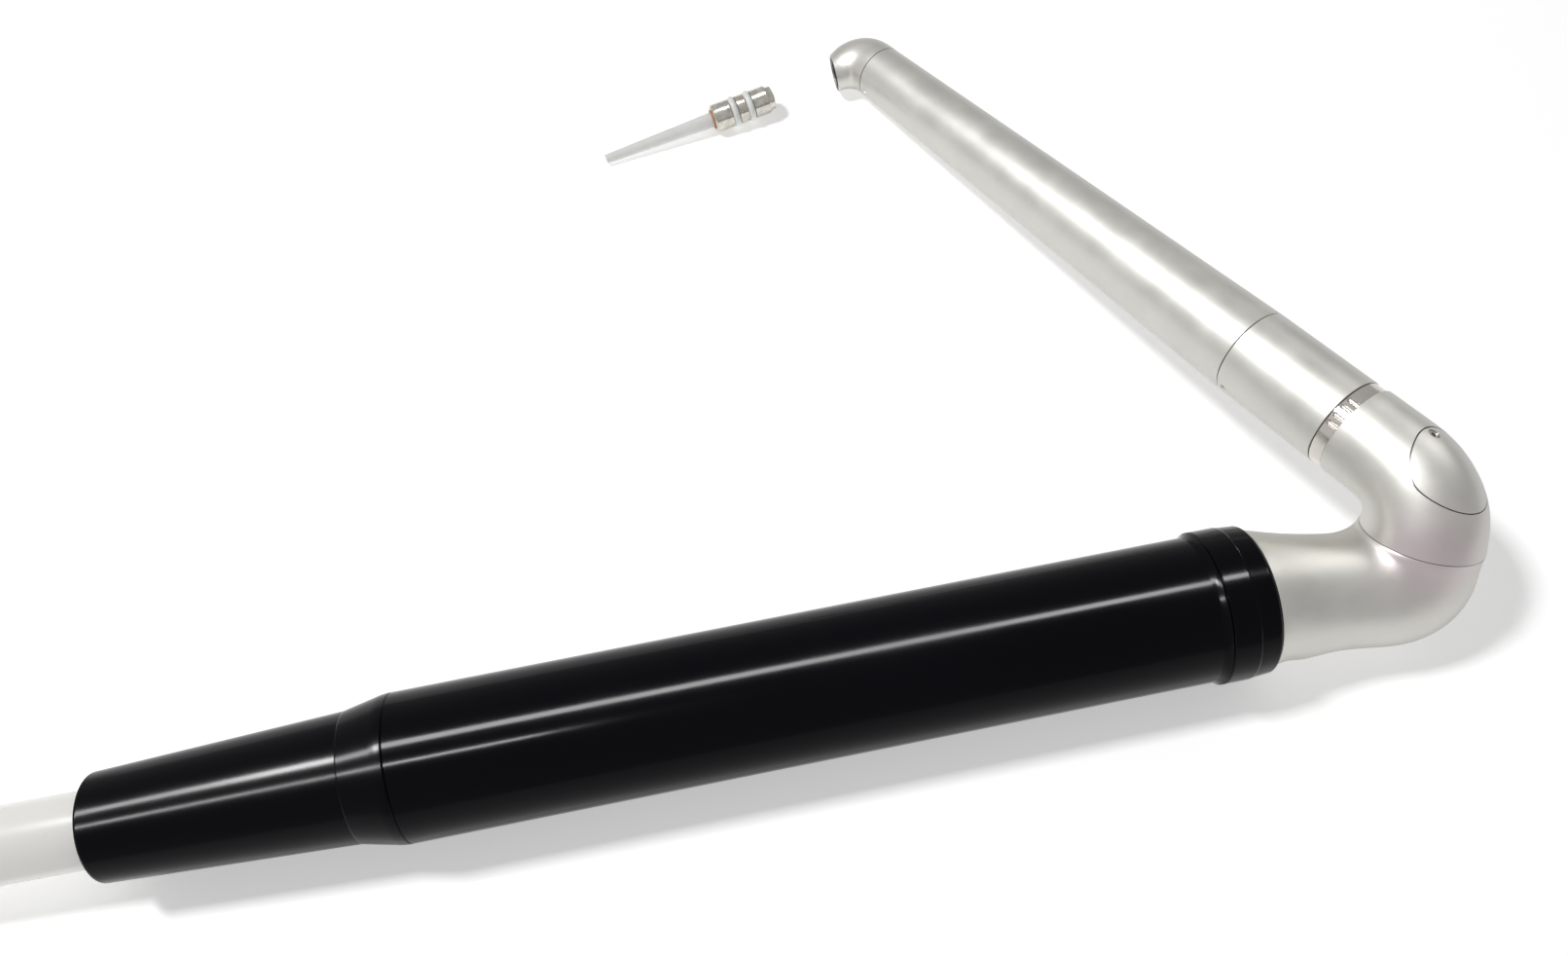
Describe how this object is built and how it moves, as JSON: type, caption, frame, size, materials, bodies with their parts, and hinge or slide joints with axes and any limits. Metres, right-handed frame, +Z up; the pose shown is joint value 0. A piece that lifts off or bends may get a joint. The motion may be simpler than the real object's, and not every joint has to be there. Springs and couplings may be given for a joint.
{
  "type": "dental laser handpiece",
  "caption": "Dental laser handpiece: black barrel with an off-white cord, swivelling metal mirror elbows, slim tapered grip, angled head and pull-out tip.",
  "frame": {"origin": "middle of the footprint of the handpiece as it lies, on the surface under it; the cord and its connector aren't counted", "axes": "+X along the barrel towards the elbow, +Y towards the head, +Z up"},
  "size_m": [0.4926, 0.1915, 0.0345],
  "materials": {
    "sleeve_black": "smooth, glossy",
    "boot_black": "smooth, glossy",
    "blasted_aluminium": "fine bead-blasted satin",
    "bright_steel": "polished",
    "nickel_plate": "fine turned lines",
    "inner_steel": "turned",
    "inner_aluminium": "machined",
    "bush_polymer": "machined polymer",
    "seal_black": "matte",
    "seal_white": "translucent silicone",
    "seal_amber": "matte",
    "guide_glass": "frosted sides",
    "optic_glass": "polished",
    "laser_crystal": "ground barrel, polished ends",
    "mirror_coat": "coated",
    "reflector_ceramic": "white glazed",
    "line_polymer": "smooth",
    "cord_jacket": "smooth, soft gloss",
    "relief_rubber": "moulded",
    "connector_black": "moulded",
    "insert_black": "moulded",
    "pin_brass": "gold-washed"
  },
  "bodies": {
    "root": {"rear_boot": "boot_black", "outer_sleeve": "sleeve_black", "front_collar": "sleeve_black", "neck_bush": "bush_polymer", "neck_wiper": "seal_black", "cord_gland": "seal_black", "chamber_supports": "inner_aluminium", "chamber_tube": "inner_aluminium", "reflector_block": "reflector_ceramic", "chamber_caps": "inner_steel", "barrel_seals": "seal_black", "laser_rod": "laser_crystal", "flash_lamp": "optic_glass", "lamp_electrodes": "inner_steel", "mirror_mounts": "inner_aluminium", "cavity_mirrors": "mirror_coat", "collimator_cell": "inner_aluminium", "collimator_lens": "optic_glass", "rotary_manifold": "inner_steel", "fluid_lines": "line_polymer", "lamp_leads": "line_polymer", "cord_lead": "cord_jacket", "cord_coil": "cord_jacket", "cord_tail": "cord_jacket", "cord_relief": "relief_rubber", "connector_shell": "connector_black", "connector_nose": "inner_steel", "connector_insert": "insert_black", "connector_pins": "pin_brass"},
    "lower_elbow": {"lower_elbow_shell": "blasted_aluminium", "lower_mirror_plug": "blasted_aluminium", "lower_elbow_clips": "inner_steel", "lower_fold_mirror": "mirror_coat", "lower_mirror_seat": "inner_aluminium", "elbow_bush": "bush_polymer"},
    "upper_elbow": {"upper_elbow_shell": "blasted_aluminium", "mirror_cover": "blasted_aluminium", "cover_screw": "bright_steel", "upper_fold_mirror": "mirror_coat", "upper_mirror_seat": "inner_aluminium", "spigot_clip": "inner_steel"},
    "lock_ring": {"lock_ring": "bright_steel"},
    "handpiece": {"rear_grip": "blasted_aluminium", "front_grip": "blasted_aluminium", "grip_bush": "bush_polymer", "grip_joiner": "inner_steel", "grip_seal": "seal_black", "focus_cell": "inner_aluminium", "focus_lens": "optic_glass", "beam_tube": "inner_steel", "spray_tubes": "inner_steel", "tube_spacers": "bush_polymer", "head_shell": "blasted_aluminium", "tip_socket": "inner_steel", "head_mirror": "mirror_coat"},
    "tip": {"tip_hub": "nickel_plate", "tip_o_rings": "seal_white", "guide_seal": "seal_amber", "light_guide": "guide_glass"},
    "coupling": {"coupling_ring": "inner_aluminium"}
  },
  "joints": [
    {"name": "sleeve_swivel", "type": "hinge", "parent": "root", "child": "lower_elbow", "pos_m": [0.08042, -0.07564, 0.0137], "axis": [1, 0, 0], "range_deg": [-165, 165]},
    {"name": "elbow_swivel", "type": "hinge", "parent": "lower_elbow", "child": "upper_elbow", "pos_m": [0.1118, -0.07245, 0.01918], "axis": [0.2419, 0.4881, 0.8386], "range_deg": [-284, 45]},
    {"name": "lock_ring_turn", "type": "hinge", "parent": "upper_elbow", "child": "lock_ring", "pos_m": [0.10666, -0.05222, 0.02421], "axis": [-0.4065, 0.9056, -0.1213], "range_deg": [0, 40]},
    {"name": "grip_swivel", "type": "hinge", "parent": "upper_elbow", "child": "handpiece", "pos_m": [0.10666, -0.05222, 0.02421], "axis": [-0.4065, 0.9056, -0.1213], "continuous": true},
    {"name": "tip_slide", "type": "slide", "parent": "handpiece", "child": "tip", "axis": [-0.9809, -0.1823, -0.0682], "range_m": [-0.0271, 0]},
    {"name": "coupling_spin", "type": "hinge", "parent": "root", "child": "coupling", "pos_m": [-0.3578, 0.01803, 0.01325], "axis": [0.02, 0.9998, 0], "continuous": true}
  ]
}
